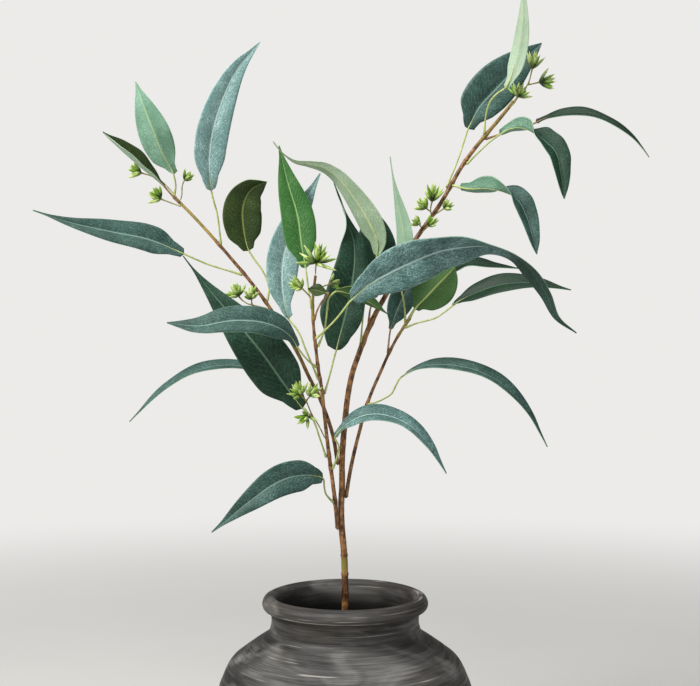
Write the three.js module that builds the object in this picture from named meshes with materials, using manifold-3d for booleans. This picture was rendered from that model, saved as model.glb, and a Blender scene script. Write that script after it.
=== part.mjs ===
// A spray of willow-leaved eucalyptus standing in a thrown clay vase.
// Millimetres, +Z up, +Y towards the back. The origin is the centre of the vase's foot.
import * as THREE from 'three';
import { mergeVertices } from 'three/addons/utils/BufferGeometryUtils.js';
import Module from 'manifold-3d';

const wasm = await Module();
wasm.setup();

// Vase: radii and heights of the thrown shape
const vaseHeight = 255;
const footRadius = 75;
const bellyRadius = 130;
const bellyHeight = 122;
const neckRadius = 72;
const neckHeight = 214;
const lipRadius = 81;
const lipHeight = 247;
const crestRadius = 73;
const wall = 8.5;
const floorThickness = 12;
const vaseSegments = 32;
const profileSteps = 2; // points for each stretch between two given radii

// Stems
const stemSides = 8;
const stemStep = 22; // rings lie about this far apart along a stem
const gap = 0.3; // clearance kept between touching pieces

// Leaves
const bladeThickness = 0.8;
const keelDepth = 0.5; // how far the midrib stands out below the blade
const petioleRadius = 0.9;
const swelling = 1.5; // the petiole's foot is this much thicker than its shank
const swellingLength = 9;
const petioleStep = 11;
const bladeRings = 11;
const usualFold = 10; // degrees that each half of a blade is raised from flat
const usualTaper = 1.3; // the higher, the longer drawn out the tip
const tipHalfWidth = 0.5;

// Seeds
const budLength = 11;
const budRadius = 1.75;
const budSides = 5;
const twigRadius = 0.8;
const twigSides = 5;
const goldenAngle = Math.PI * (3 - Math.sqrt(5));

const vector = ([x, y, z]) => new THREE.Vector3(x, y, z);

const bark = () => new THREE.MeshStandardMaterial({ color: 0x6b4324, roughness: 0.65, metalness: 0 });
const clay = () => new THREE.MeshStandardMaterial({ color: 0x4a4440, roughness: 0.8, metalness: 0 });
const leafGreen = () => new THREE.MeshStandardMaterial({ color: 0x2f5a52, roughness: 0.6, metalness: 0 });
const budGreen = () => new THREE.MeshStandardMaterial({ color: 0x8aa83c, roughness: 0.55, metalness: 0 });

const spray = new THREE.Group();

function addPiece(name, geometry, material) {
  const piece = new THREE.Mesh(geometry, material);
  piece.name = name;
  spray.add(piece);
}

// A closed body through rings of equal size, each turning anticlockwise as seen from the far end.
// The sides given as turned have their quads split along the other diagonal.
function loft(rings, turned = []) {
  const sides = rings[0].length;
  const faces = [];
  for (let ring = 0; ring + 1 < rings.length; ring += 1) {
    for (let side = 0; side < sides; side += 1) {
      const a = ring * sides + side;
      const b = ring * sides + ((side + 1) % sides);
      if (turned.includes(side)) {
        faces.push(a, b, a + sides);
        faces.push(b, b + sides, a + sides);
      } else {
        faces.push(a, b, b + sides);
        faces.push(a, b + sides, a + sides);
      }
    }
  }
  const last = (rings.length - 1) * sides;
  for (let side = 1; side + 1 < sides; side += 1) {
    faces.push(0, side + 1, side);
    faces.push(last, last + side, last + side + 1);
  }
  const positions = rings.flat().flatMap((point) => point.toArray());
  const geometry = new THREE.BufferGeometry();
  geometry.setAttribute('position', new THREE.Float32BufferAttribute(positions, 3));
  geometry.setIndex(faces);
  geometry.computeVertexNormals();
  return geometry;
}

function curveThrough(points) {
  return new THREE.CatmullRomCurve3(points, false, 'centripetal');
}

// A round tube along a curve, with its radius given as a function of the share of its length.
function tube(curve, steps, sides, radiusAt) {
  const frames = curve.computeFrenetFrames(steps, false);
  const rings = [];
  for (let step = 0; step <= steps; step += 1) {
    const share = step / steps;
    const centre = curve.getPointAt(share);
    const radius = radiusAt(share);
    const ring = [];
    for (let side = 0; side < sides; side += 1) {
      const angle = (side / sides) * 2 * Math.PI;
      const point = centre.clone();
      point.addScaledVector(frames.normals[step], radius * Math.cos(angle));
      point.addScaledVector(frames.binormals[step], radius * Math.sin(angle));
      ring.push(point);
    }
    rings.push(ring);
  }
  return loft(rings);
}

// The vase is turned from one closed profile: foot, belly, neck, rolled lip, and back down inside.
function vaseGeometry() {
  const outer = new THREE.SplineCurve([
    new THREE.Vector2(footRadius, 0),
    new THREE.Vector2(footRadius + 32, 42),
    new THREE.Vector2(bellyRadius, bellyHeight),
    new THREE.Vector2(bellyRadius - 12, 179),
    new THREE.Vector2(bellyRadius - 27, 198),
    new THREE.Vector2(neckRadius + 8, neckHeight),
    new THREE.Vector2(neckRadius + 1.5, neckHeight + 7),
    new THREE.Vector2(neckRadius, neckHeight + 18),
    new THREE.Vector2(neckRadius + 2, lipHeight - 8),
    new THREE.Vector2(lipRadius - 1.5, lipHeight - 5),
    new THREE.Vector2(lipRadius, lipHeight),
    new THREE.Vector2(lipRadius - 2.5, vaseHeight - 2.5),
    new THREE.Vector2(crestRadius, vaseHeight),
  ]);
  const inner = new THREE.SplineCurve([
    new THREE.Vector2(crestRadius, vaseHeight),
    new THREE.Vector2(crestRadius - 4.5, vaseHeight - 3),
    new THREE.Vector2(neckRadius + 1.5 - wall, lipHeight - 2),
    new THREE.Vector2(neckRadius - wall, neckHeight + 19),
    new THREE.Vector2(neckRadius + 2 - wall, neckHeight + 5),
    new THREE.Vector2(neckRadius + 11 - wall, neckHeight - 6),
    new THREE.Vector2(bellyRadius - 24 - wall, 192),
    new THREE.Vector2(bellyRadius - 11 - wall, 175),
    new THREE.Vector2(bellyRadius - wall, bellyHeight),
    new THREE.Vector2(footRadius + 30 - wall, 46),
    new THREE.Vector2(footRadius - 4, floorThickness),
  ]);
  const profile = [
    new THREE.Vector2(0, 0),
    ...outer.getPoints(profileSteps * (outer.points.length - 1)),
    ...inner.getPoints(profileSteps * (inner.points.length - 1)).slice(1),
    new THREE.Vector2(0, floorThickness),
  ];
  const geometry = new THREE.LatheGeometry(profile, vaseSegments);
  geometry.rotateX(Math.PI / 2);
  return geometry;
}

addPiece('vase', vaseGeometry(), clay());

// A stem keeps its curve and radii, so that leaves, seeds and side stems can find its surface.
class Stem {
  constructor(name, points, startRadius, endRadius) {
    this.name = name;
    this.curve = curveThrough(points);
    this.startRadius = startRadius;
    this.endRadius = endRadius;
  }

  radiusAt(share) {
    return THREE.MathUtils.lerp(this.startRadius, this.endRadius, share);
  }

  // Every stem climbs all the way, so a height names one place on it.
  shareAtHeight(height) {
    let low = 0;
    let high = 1;
    while (high - low > 1e-4) {
      const middle = (low + high) / 2;
      if (this.curve.getPointAt(middle).z < height) low = middle;
      else high = middle;
    }
    return low;
  }

  // Where a shoot of the given radius starts when it leaves for a point, just clear of the bark.
  budAt(height, toward, radius) {
    const share = this.shareAtHeight(height);
    const axis = this.curve.getPointAt(share);
    const along = this.curve.getTangentAt(share);
    const out = toward.clone().sub(axis);
    const lean = Math.abs(out.clone().normalize().dot(along));
    out.addScaledVector(along, -out.dot(along)).normalize();
    return axis.addScaledVector(out, this.radiusAt(share) + gap + radius * lean);
  }

  // Where a shoot that leaves for a point starts, just clear of the stem's end.
  tip(toward, radius) {
    const end = this.curve.getPointAt(1);
    const along = this.curve.getTangentAt(1);
    const lean = along.angleTo(toward.clone().sub(end));
    return end.addScaledVector(along, gap + radius * Math.sin(lean));
  }

  shootStart(joint, toward, radius) {
    return joint === 'tip' ? this.tip(toward, radius) : this.budAt(joint, toward, radius);
  }

  geometry() {
    const steps = Math.round(this.curve.getLength() / stemStep);
    return tube(this.curve, steps, stemSides, (share) => this.radiusAt(share));
  }
}

// The main stem stands on the vase's floor, leaves the mouth upright and arches to the right.
const mainStem = new Stem('main_stem', [
  [0, 0, floorThickness + gap],
  [0, 0, 120],
  [0, 0, 250],
  [-1, 0, 293],
  [-4, 0, 330],
  [-3, 2, 362],
  [-3, 4, 391],
  [-1, 6, 414],
  [2, 9, 444],
  [7, 12, 470],
  [16, 15, 496],
  [26, 18, 521],
  [45, 24, 556],
  [70, 32, 603],
  [95, 38, 639],
  [122, 44, 685],
  [160, 50, 732],
  [172, 52, 747],
].map(vector), 4, 1.8);

function sideStem(name, parent, joint, points, startRadius, endRadius) {
  const route = points.map(vector);
  const start = parent.budAt(joint, route[0], startRadius);
  return new Stem(name, [start, ...route], startRadius, endRadius);
}

const frontStem = sideStem('front_stem', mainStem, 322, [
  [-10, -4, 347],
  [-12, -5, 363],
  [-16, -9, 394],
  [-20, -14, 430],
  [-22, -18, 452],
  [-26, -22, 477],
  [-29, -26, 505],
  [-31, -30, 530],
  [-30, -33, 550],
  [-28, -35, 564],
], 2.1, 1.3);

const leftStem = sideStem('left_stem', mainStem, 384, [
  [-9, 2, 398],
  [-15, 0, 417],
  [-20, -3, 436],
  [-32, -6, 460],
  [-45, -8, 488],
  [-66, -4, 523],
  [-88, 2, 554],
  [-113, 7, 584],
  [-147, 12, 622],
  [-169, 16, 644],
], 2, 1.5);

const rightStem = sideStem('right_stem', mainStem, 352, [
  [4, 6, 369],
  [7, 10, 384],
  [14, 16, 412],
  [22, 22, 440],
  [34, 28, 468],
  [43, 31, 488],
  [56, 33, 512],
  [65, 34, 525],
], 2, 1.4);

for (const stem of [mainStem, frontStem, leftStem, rightStem]) {
  addPiece(stem.name, stem.geometry(), bark());
}

// The half width of a blade: it swells to its widest place and runs out to a point.
function halfWidthAt(share, width, widest, taper) {
  const rise = (taper * widest) / (1 - widest);
  const swell = (share / widest) ** rise * ((1 - share) / (1 - widest)) ** taper;
  return Math.max((width / 2) * swell, tipHalfWidth);
}

// Evenly spread values along the blade, read in between by a smooth step.
function readAlong(values, share) {
  const place = share * (values.length - 1);
  const index = Math.min(Math.floor(place), values.length - 2);
  return THREE.MathUtils.lerp(values[index], values[index + 1], THREE.MathUtils.smoothstep(place - index, 0, 1));
}

// The share of a curve's length at which it passes one of the points it was drawn through.
function shareAtPoint(curve, index) {
  const between = 40;
  const lengths = curve.getLengths(between * (curve.points.length - 1));
  return lengths[between * index] / lengths[lengths.length - 1];
}

// The two sides of a leaf's rings that make its underside. Their quads are split like those above
// them, so that a twisted blade keeps its thickness.
const undersides = [3, 4];

// Six points round the petiole, or the top and bottom of both edges and of the midrib.
// With no roll the top face looks to the front; the roll turns it about the midrib.
function leafRing(centre, along, rollDegrees, round, halfWidth, flat, { fold = usualFold, uneven = 0 }) {
  const front = new THREE.Vector3(0, -1, 0);
  const up = front.addScaledVector(along, -front.dot(along)).normalize();
  up.applyAxisAngle(along, THREE.MathUtils.degToRad(rollDegrees));
  const side = new THREE.Vector3().crossVectors(up, along);
  const raised = THREE.MathUtils.degToRad(fold);
  const blend = (stalk, blade) => THREE.MathUtils.lerp(stalk, blade, flat);
  const thin = THREE.MathUtils.clamp(halfWidth / 5, 0.5, 1);
  const edgeHalf = blend(round / 2, (bladeThickness * thin) / 2);
  const ribTop = blend(round, (bladeThickness * thin) / 2);
  const ribBottom = blend(round, (bladeThickness / 2 + keelDepth) * thin);
  const edge = (sign, half) => {
    const width = halfWidth * (1 + sign * uneven);
    const out = sign * blend(round * Math.cos(Math.PI / 6), width * Math.cos(raised));
    return [out, blend(0, width * Math.sin(raised)) + half];
  };
  const corners = [
    edge(1, edgeHalf),
    [0, ribTop],
    edge(-1, edgeHalf),
    edge(-1, -edgeHalf),
    [0, -ribBottom],
    edge(1, -edgeHalf),
  ];
  return corners.map(([across, high]) => centre.clone()
    .addScaledVector(side, across)
    .addScaledVector(up, high));
}

// A leaf is one piece: a petiole with a swollen foot that flattens into the blade.
function leafGeometry(stem, leaf) {
  const { joint, petiole, blade, width, widest, rolls, taper = usualTaper } = leaf;
  const route = [...petiole, ...blade].map(vector);
  const start = stem.shootStart(joint, route[0], petioleRadius * swelling);
  const curve = curveThrough([start, ...route]);
  const bladeStart = shareAtPoint(curve, petiole.length + 1);
  const petioleLength = bladeStart * curve.getLength();
  const petioleRings = Math.max(2, Math.round(petioleLength / petioleStep));
  const rings = [];
  for (let ring = 0; ring < petioleRings; ring += 1) {
    const share = (ring / petioleRings) * bladeStart;
    const fromFoot = (ring / petioleRings) * petioleLength;
    const swollen = 1 - Math.min(fromFoot / swellingLength, 1);
    const round = petioleRadius * (1 + (swelling - 1) * swollen);
    rings.push(leafRing(curve.getPointAt(share), curve.getTangentAt(share), rolls[0], round, 0, 0, leaf));
  }
  for (let ring = 0; ring <= bladeRings; ring += 1) {
    const along = ring / bladeRings;
    const share = THREE.MathUtils.lerp(bladeStart, 1, along);
    const half = halfWidthAt(along, width, widest, taper);
    const flat = THREE.MathUtils.smoothstep(along, 0, 1.5 / bladeRings);
    const roll = readAlong(rolls, along);
    rings.push(leafRing(curve.getPointAt(share), curve.getTangentAt(share), roll, petioleRadius, half, flat, leaf));
  }
  return loft(rings, undersides);
}

// Each row is one leaf: the height of its joint on the stem, the points its petiole passes, its
// midrib from base to tip, its greatest width and where that lies, and its roll along the blade.
// A row may also give the blade's taper, its fold, and how much wider one half is than the other.
const frontLeaves = [
  // lowest leaf, hanging to the left
  {
    joint: 346, petiole: [[-20, -12, 356]], width: 31, widest: 0.3, rolls: [0, 10, 10],
    blade: [[-21, -22, 370], [-40, -32, 374], [-61, -42, 370], [-89, -52, 352], [-124, -58, 324]],
  },
  // arched leaf that crosses in front of the main stem
  {
    joint: 379, petiole: [[-8, -14, 389], [-6, -18, 400]], width: 26, widest: 0.45, rolls: [-40, -60, -55],
    blade: [[-10, -24, 410], [3, -30, 424], [25, -38, 433], [54, -46, 427], [77, -50, 407], [95, -52, 378]],
  },
  // broad leaf leaning far to the left
  {
    joint: 391, petiole: [[-26, -12, 412], [-32, -15, 428]], width: 48, widest: 0.3, taper: 1.9, rolls: [0, 5, 10],
    blade: [[-41, -18, 437], [-58, -24, 460], [-79, -28, 490], [-108, -26, 525], [-135, -22, 557], [-156, -20, 584]],
  },
  // upright leaf in the middle, turned over near its tip
  {
    joint: 452, petiole: [[-14, -14, 472]], width: 42, widest: 0.23, uneven: 0.2, rolls: [0, 0, 0, 5, 80, 50],
    blade: [[-9, -10, 493], [2, -6, 534], [8, -4, 566], [9, -4, 596], [2, -6, 620], [-11, -12, 656]],
  },
  // pale leaf behind the bright one
  {
    joint: 466, petiole: [[-37, -14, 491], [-46, -8, 512]], width: 33, widest: 0.4, rolls: [0, 0],
    blade: [[-55, -4, 524], [-61, 0, 549], [-61, 2, 579], [-53, 0, 609], [-40, -4, 635], [-24, -10, 665]],
  },
  // arching leaf that hangs to the left in front of the left stem
  {
    joint: 478, petiole: [[-37, -31, 485]], width: 31, widest: 0.45, taper: 1.1, rolls: [10, 35, 35],
    blade: [[-45, -36, 496], [-54, -44, 509], [-75, -52, 519], [-105, -58, 521], [-136, -60, 516], [-166, -56, 519]],
  },
  // leaf turned to the right behind the long pale one
  {
    joint: 497, petiole: [[-20, -22, 512], [-17, -33, 531], [-15, -40, 543]], width: 20, widest: 0.4,
    rolls: [-130, -125],
    blade: [[-9, -42, 549], [5, -41, 547], [22, -38, 540], [40, -34, 528]],
  },
  // long pale leaf across the front, twisted over half way and hanging to a thread
  {
    joint: 505, petiole: [[-19, -36, 512], [-7, -46, 524]], width: 42, widest: 0.27,
    taper: 1.1, rolls: [0, 5, 45, 87, 55, 50],
    blade: [
      [6, -54, 540], [21, -57, 553], [52, -62, 570], [94, -68, 586], [117, -71, 588],
      [139, -72, 587], [160, -72, 577], [183, -69, 549], [199, -66, 519], [214, -65, 509],
    ],
  },
  // small dark leaf that crosses the tip of the stem
  {
    joint: 523, petiole: [[-24, -42, 536]], width: 13, widest: 0.55, rolls: [20, 20],
    blade: [[-16, -48, 546], [-24, -47, 549], [-35, -44, 551]],
  },
  // bright upright leaf behind the seeds
  {
    joint: 534, petiole: [[-35, -22, 550]], width: 33, widest: 0.35, rolls: [0, 0],
    blade: [[-38, -20, 572], [-42, -17, 594], [-46, -15, 623], [-56, -14, 657], [-64, -14, 691]],
  },
];

const leftLeaves = [
  // narrow leaf drooping to the far left
  {
    joint: 452, petiole: [[-52, 2, 459]], width: 21, widest: 0.4, rolls: [60, 65, 60],
    blade: [[-72, 6, 468], [-103, 4, 478], [-141, -4, 475], [-174, -16, 457], [-206, -28, 425]],
  },
  // short round leaf with a curled tip
  {
    joint: 541, petiole: [[-75, 3, 556], [-82, 6, 572]], width: 39, widest: 0.42, taper: 0.8, rolls: [0, 0, 40],
    blade: [[-95, 8, 591], [-100, 6, 613], [-100, 2, 634], [-92, -4, 649], [-76, -12, 656]],
  },
  // long leaf reaching furthest to the left
  {
    joint: 569, petiole: [[-137, 0, 578]], width: 30, widest: 0.3, taper: 1.6, rolls: [20, 30, 30],
    blade: [[-157, -6, 587], [-189, -14, 600], [-225, -24, 607], [-262, -32, 615], [-296, -36, 626]],
  },
  // tall curved leaf
  {
    joint: 597, petiole: [[-125, 0, 625]], width: 32, widest: 0.33, taper: 1.1, rolls: [10, 10],
    blade: [[-130, -8, 648], [-131, -14, 682], [-124, -18, 717], [-106, -16, 761], [-83, -5, 793]],
  },
  // side leaf at the tip, folded so that both faces show
  {
    joint: 640, petiole: [[-172, 7, 647]], width: 28, widest: 0.5, fold: 35, rolls: [68, 68],
    blade: [[-177, 4, 654], [-198, -8, 671], [-215, -18, 686], [-232, -26, 702]],
  },
  // leaf at the very tip, showing its underside
  {
    joint: 'tip', petiole: [[-168, 15, 657]], width: 32, widest: 0.4, rolls: [180, 180],
    blade: [[-169, 12, 667], [-179, 6, 685], [-188, 0, 708], [-198, 0, 734], [-206, 6, 757]],
  },
];

const rightLeaves = [
  // long narrow arc to the right
  {
    joint: 439, petiole: [[32, 12, 442], [46, 2, 451]], width: 26, widest: 0.45, rolls: [-62, -62],
    blade: [[54, -6, 467], [77, -12, 478], [110, -20, 478], [143, -26, 466], [171, -30, 440], [193, -30, 401]],
  },
  // upright leaf behind the front one
  {
    joint: 491, petiole: [[44, 40, 502]], width: 27, widest: 0.45, rolls: [0, 0],
    blade: [[46, 48, 514], [54, 56, 536], [66, 62, 560], [81, 64, 584]],
  },
  // dark narrow leaf behind
  {
    joint: 508, petiole: [[70, 42, 535], [84, 44, 553]], width: 24, widest: 0.35, rolls: [-60, -65],
    blade: [[96, 41, 566], [121, 35, 580], [150, 26, 577], [176, 20, 574]],
  },
  // leaf arching out to the right
  {
    joint: 517, petiole: [[75, 28, 521], [88, 20, 524], [100, 14, 532]], width: 26, widest: 0.4, rolls: [-45, -45],
    blade: [[106, 10, 538], [125, 2, 548], [152, -8, 557], [183, -16, 558], [217, -22, 551]],
  },
  // narrow pale leaf standing upright
  {
    joint: 521, petiole: [[60, 42, 538]], width: 22, widest: 0.32, taper: 2.3, rolls: [140, 140],
    blade: [[57, 46, 557], [60, 47, 582], [59, 46, 613], [54, 42, 640], [49, 36, 662], [45, 28, 687]],
  },
  // rounded leaf at the tip, showing its underside
  {
    joint: 'tip', petiole: [], width: 42, widest: 0.5, taper: 0.8, rolls: [180, 180],
    blade: [[70, 32, 534], [81, 28, 546], [94, 24, 560], [109, 17, 575]],
  },
];

const mainLeaves = [
  // curved leaf over the middle, underside to the front
  {
    joint: 501, petiole: [[17, 8, 521], [21, 0, 552]], width: 26, widest: 0.2, taper: 1.8, rolls: [150, 150],
    blade: [
      [31, -12, 584], [32, -15, 596], [26, -17, 611], [10, -19, 638],
      [-14, -23, 665], [-35, -28, 671], [-52, -34, 674], [-68, -44, 690],
    ],
  },
  // broad leaf behind it
  {
    joint: 520, petiole: [[25, 12, 535]], width: 40, widest: 0.5, taper: 0.8, rolls: [0, 0],
    blade: [[28, 8, 544], [30, 10, 567], [31, 12, 592], [25, 10, 632]],
  },
  // short leaf folded over and hanging right
  {
    joint: 660, petiole: [], width: 27, widest: 0.42, taper: 0.7, fold: 32,
    rolls: [-150, -140, -125, -55, -20, -15, -15, -15],
    blade: [
      [115, 34, 657], [124, 31, 655], [139, 26, 655], [154, 20, 652],
      [169, 15, 644], [179, 11, 625], [184, 7, 606], [188, 4, 587],
    ],
  },
  // broad leaf at the top, behind the stem
  {
    joint: 658, petiole: [[114, 48, 685]], width: 46, widest: 0.4, taper: 1, uneven: 0.12, rolls: [0, 0],
    blade: [[126, 54, 719], [137, 56, 741], [154, 58, 760], [173, 58, 780], [201, 54, 807]],
  },
  // leaf turned over at its base, hanging right
  {
    joint: 684, petiole: [[141, 42, 699]], width: 28, widest: 0.45, taper: 0.8, fold: 30,
    rolls: [-160, -125, -35, -15, -15, -15],
    blade: [
      [156, 38, 711], [171, 32, 717], [185, 27, 713], [198, 22, 702],
      [209, 18, 690], [213, 14, 671], [216, 10, 642],
    ],
  },
  // thin arc furthest to the right
  {
    joint: 710, petiole: [[164, 49, 715], [182, 46, 719]], width: 22, widest: 0.4, rolls: [-55, -58],
    blade: [[193, 42, 724], [211, 36, 730], [240, 26, 730], [267, 16, 717], [286, 10, 701], [299, 6, 683]],
  },
  // pale leaf that stands highest
  {
    joint: 712, petiole: [[143, 40, 734], [149, 34, 748]], width: 18, widest: 0.3, taper: 1.6, rolls: [150, 150],
    blade: [[161, 30, 756], [169, 26, 775], [174, 22, 797], [176, 16, 820], [176, 6, 866]],
  },
];

function addLeaves(stem, rows) {
  const place = stem.name.replace('_stem', '');
  rows.forEach((row, index) => {
    addPiece(`${place}_leaf_${index + 1}`, leafGeometry(stem, row), leafGreen());
  });
}

addLeaves(frontStem, frontLeaves);
addLeaves(leftStem, leftLeaves);
addLeaves(rightStem, rightLeaves);
addLeaves(mainStem, mainLeaves);

// A flower bud is a pointed spindle that starts inside the end of its twig.
function budGeometry(start, direction, length) {
  const profile = [
    [0, 0],
    [0.9, 0.3],
    [0.85, 0.6],
    [0, 1],
  ].map(([out, high]) => new THREE.Vector2(out * budRadius, high * length));
  const geometry = new THREE.LatheGeometry(profile, budSides);
  const turn = new THREE.Quaternion().setFromUnitVectors(new THREE.Vector3(0, 1, 0), direction);
  geometry.applyQuaternion(turn);
  geometry.translate(start.x, start.y, start.z);
  return geometry;
}

// Directions that fan out round an axis, up to the given spread, by the golden angle.
function fan(axis, count, spreadDegrees) {
  const across = new THREE.Vector3(axis.z, 0, -axis.x).normalize();
  const directions = [];
  for (let bud = 0; bud < count; bud += 1) {
    const lean = THREE.MathUtils.degToRad(spreadDegrees) * Math.sqrt(bud / (count - 1));
    const direction = axis.clone().applyAxisAngle(across, lean);
    directions.push(direction.applyAxisAngle(axis, bud * goldenAngle));
  }
  return directions;
}

function solidOf(geometry) {
  const bare = geometry.clone();
  bare.deleteAttribute('normal');
  bare.deleteAttribute('uv');
  const closed = mergeVertices(bare, 1e-4);
  return new wasm.Manifold(new wasm.Mesh({
    numProp: 3,
    vertProperties: new Float32Array(closed.attributes.position.array),
    triVerts: new Uint32Array(closed.index.array),
  }));
}

function geometryOf(solid) {
  const { vertProperties, triVerts } = solid.getMesh();
  const geometry = new THREE.BufferGeometry();
  geometry.setAttribute('position', new THREE.Float32BufferAttribute(vertProperties, 3));
  geometry.setIndex(Array.from(triVerts));
  geometry.computeVertexNormals();
  return geometry;
}

// A seed cluster is one piece: a stalk, its side twigs, and buds fanned out at each twig's end.
function seedGeometry(stem, { joint, twigs }) {
  const parts = [];
  twigs.forEach(({ path, buds, spread, length = budLength }, index) => {
    const route = path.map(vector);
    if (index === 0) route.unshift(stem.shootStart(joint, route[0], twigRadius));
    const curve = curveThrough(route);
    const steps = Math.max(2, Math.round(curve.getLength() / 7));
    parts.push(tube(curve, steps, twigSides, () => twigRadius));
    const end = curve.getPointAt(1).addScaledVector(curve.getTangentAt(1), -twigRadius);
    for (const direction of fan(curve.getTangentAt(1), buds, spread)) {
      parts.push(budGeometry(end, direction, length));
    }
  });
  return geometryOf(parts.map(solidOf).reduce((whole, part) => whole.add(part)));
}

// Each row is one cluster: the height of its joint and its twigs, the first of them from the stem.
const frontSeeds = [
  // low spray of four tufts in front of the broad leaf
  {
    joint: 408,
    twigs: [
      { path: [[-26, -21, 422], [-32, -28, 432], [-37, -34, 445], [-42, -37, 451]], buds: 7, spread: 70 },
      { path: [[-37, -34, 445], [-33, -38, 450]], buds: 6, spread: 50, length: 12 },
      { path: [[-32, -28, 432], [-36, -33, 430]], buds: 6, spread: 80 },
    ],
  },
  // left side tuft under the tip
  {
    joint: 543,
    twigs: [
      { path: [[-37, -38, 548], [-41, -42, 552]], buds: 6, spread: 50 },
    ],
  },
  // right side tuft under the tip
  {
    joint: 551,
    twigs: [
      { path: [[-22, -24, 554], [-14, -19, 557]], buds: 4, spread: 60, length: 9 },
    ],
  },
  // round head of buds at the tip
  {
    joint: 'tip',
    twigs: [
      { path: [[-28, -36, 570], [-27, -38, 576]], buds: 12, spread: 95, length: 16 },
    ],
  },
];

const leftSeeds = [
  // pair of tufts half way up
  {
    joint: 535,
    twigs: [
      { path: [[-86, -4, 536], [-95, -4, 538], [-100, -4, 541], [-104, -5, 546]], buds: 7, spread: 70 },
      { path: [[-91, -4, 537], [-91, -7, 543]], buds: 6, spread: 55 },
    ],
  },
  // tuft below the tip
  {
    joint: 636,
    twigs: [
      { path: [[-174, 10, 639], [-182, 8, 642]], buds: 7, spread: 65 },
    ],
  },
  // single bud beside the tip
  {
    joint: 640,
    twigs: [
      { path: [[-162, 20, 650], [-163, 20, 659], [-160, 19, 662]], buds: 2, spread: 25, length: 9 },
    ],
  },
  // tuft reaching out behind the side leaf
  {
    joint: 641,
    twigs: [
      { path: [[-174, 24, 652], [-184, 24, 662], [-195, 20, 667], [-203, 18, 669]], buds: 6, spread: 55 },
    ],
  },
];

const mainSeeds = [
  // small tuft low on the left side
  {
    joint: 615,
    twigs: [
      { path: [[74, 29, 619]], buds: 3, spread: 40, length: 9 },
    ],
  },
  // small tuft low on the right side
  {
    joint: 611,
    twigs: [
      { path: [[83, 27, 617]], buds: 3, spread: 30, length: 10 },
    ],
  },
  // pair of tufts on the left side
  {
    joint: 628,
    twigs: [
      { path: [[85, 30, 632], [87, 29, 642]], buds: 6, spread: 42, length: 15 },
      { path: [[85, 30, 632], [81, 28, 635]], buds: 4, spread: 45 },
    ],
  },
  // small tuft on the right side
  {
    joint: 630,
    twigs: [
      { path: [[99, 29, 635]], buds: 4, spread: 40, length: 9 },
    ],
  },
  // head of buds at the end of the wood
  {
    joint: 740,
    twigs: [
      { path: [[173, 44, 745], [175, 42, 750]], buds: 8, spread: 75, length: 12 },
    ],
  },
  // thin fork beyond the wood, with a tuft on each end
  {
    joint: 'tip',
    twigs: [
      { path: [[181, 53, 758], [186, 49, 763], [190, 46, 779]], buds: 5, spread: 45, length: 14 },
      { path: [[186, 49, 763], [198, 50, 766]], buds: 5, spread: 60, length: 14 },
    ],
  },
];

function addSeeds(stem, rows) {
  const place = stem.name.replace('_stem', '');
  rows.forEach((row, index) => {
    addPiece(`${place}_seeds_${index + 1}`, seedGeometry(stem, row), budGreen());
  });
}

addSeeds(frontStem, frontSeeds);
addSeeds(leftStem, leftSeeds);
addSeeds(mainStem, mainSeeds);

export default spray;
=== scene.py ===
# A spray of willow-leaved eucalyptus standing in a dark clay vase.
# Metres, Z up, the front towards -Y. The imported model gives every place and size.
import math

import bpy
from mathutils import Matrix, Vector, noise


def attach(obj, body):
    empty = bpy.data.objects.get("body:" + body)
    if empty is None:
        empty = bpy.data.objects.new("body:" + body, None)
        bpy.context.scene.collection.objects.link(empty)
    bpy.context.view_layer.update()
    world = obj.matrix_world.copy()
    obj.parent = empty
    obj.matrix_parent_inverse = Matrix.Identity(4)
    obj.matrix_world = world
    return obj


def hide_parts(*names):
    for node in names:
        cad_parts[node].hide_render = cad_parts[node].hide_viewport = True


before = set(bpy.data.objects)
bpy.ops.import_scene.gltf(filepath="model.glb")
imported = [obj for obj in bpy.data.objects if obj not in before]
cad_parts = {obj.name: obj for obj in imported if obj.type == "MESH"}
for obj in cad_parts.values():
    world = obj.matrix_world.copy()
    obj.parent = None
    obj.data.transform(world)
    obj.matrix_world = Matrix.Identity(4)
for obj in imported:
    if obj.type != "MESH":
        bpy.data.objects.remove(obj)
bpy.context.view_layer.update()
bpy.ops.object.select_all(action="DESELECT")
print("packed model loaded")

millimetre = 0.001


# Shader helpers

def tone(red, green, blue):
    # a screen colour, 0 to 255, as the linear colour that shaders work in
    values = [channel / 255 for channel in (red, green, blue)]
    return tuple(v / 12.92 if v <= 0.04 else ((v + 0.055) / 1.055) ** 2.4 for v in values) + (1,)


def addNode(tree, kind, feeds=None, **settings):
    node = tree.nodes.new("ShaderNode" + kind)
    for name, value in settings.items():
        setattr(node, name, value)
    for socket, value in (feeds or {}).items():
        if isinstance(value, bpy.types.NodeSocket):
            tree.links.new(value, node.inputs[socket])
        else:
            node.inputs[socket].default_value = value
    return node


def mixed(tree, factor, first, second):
    return addNode(tree, "Mix", {0: factor, 6: first, 7: second}, data_type="RGBA").outputs[2]


def sums(tree, operation, first, second=0.0, third=0.0):
    return addNode(tree, "Math", {0: first, 1: second, 2: third}, operation=operation).outputs[0]


def eased(tree, value, low, high, fromValue=0.0, toValue=1.0):
    feeds = {"Value": value, "From Min": low, "From Max": high, "To Min": fromValue, "To Max": toValue}
    return addNode(tree, "MapRange", feeds, interpolation_type="SMOOTHSTEP").outputs[0]


def cloud(tree, vector, scale, detail=2.0, rough=0.55, warp=0.0):
    feeds = {"Vector": vector, "Scale": scale, "Detail": detail, "Roughness": rough, "Distortion": warp}
    return addNode(tree, "TexNoise", feeds).outputs[0]


def stretched(tree, vector, scale):
    return addNode(tree, "Mapping", {"Vector": vector, "Scale": scale}).outputs[0]


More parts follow.
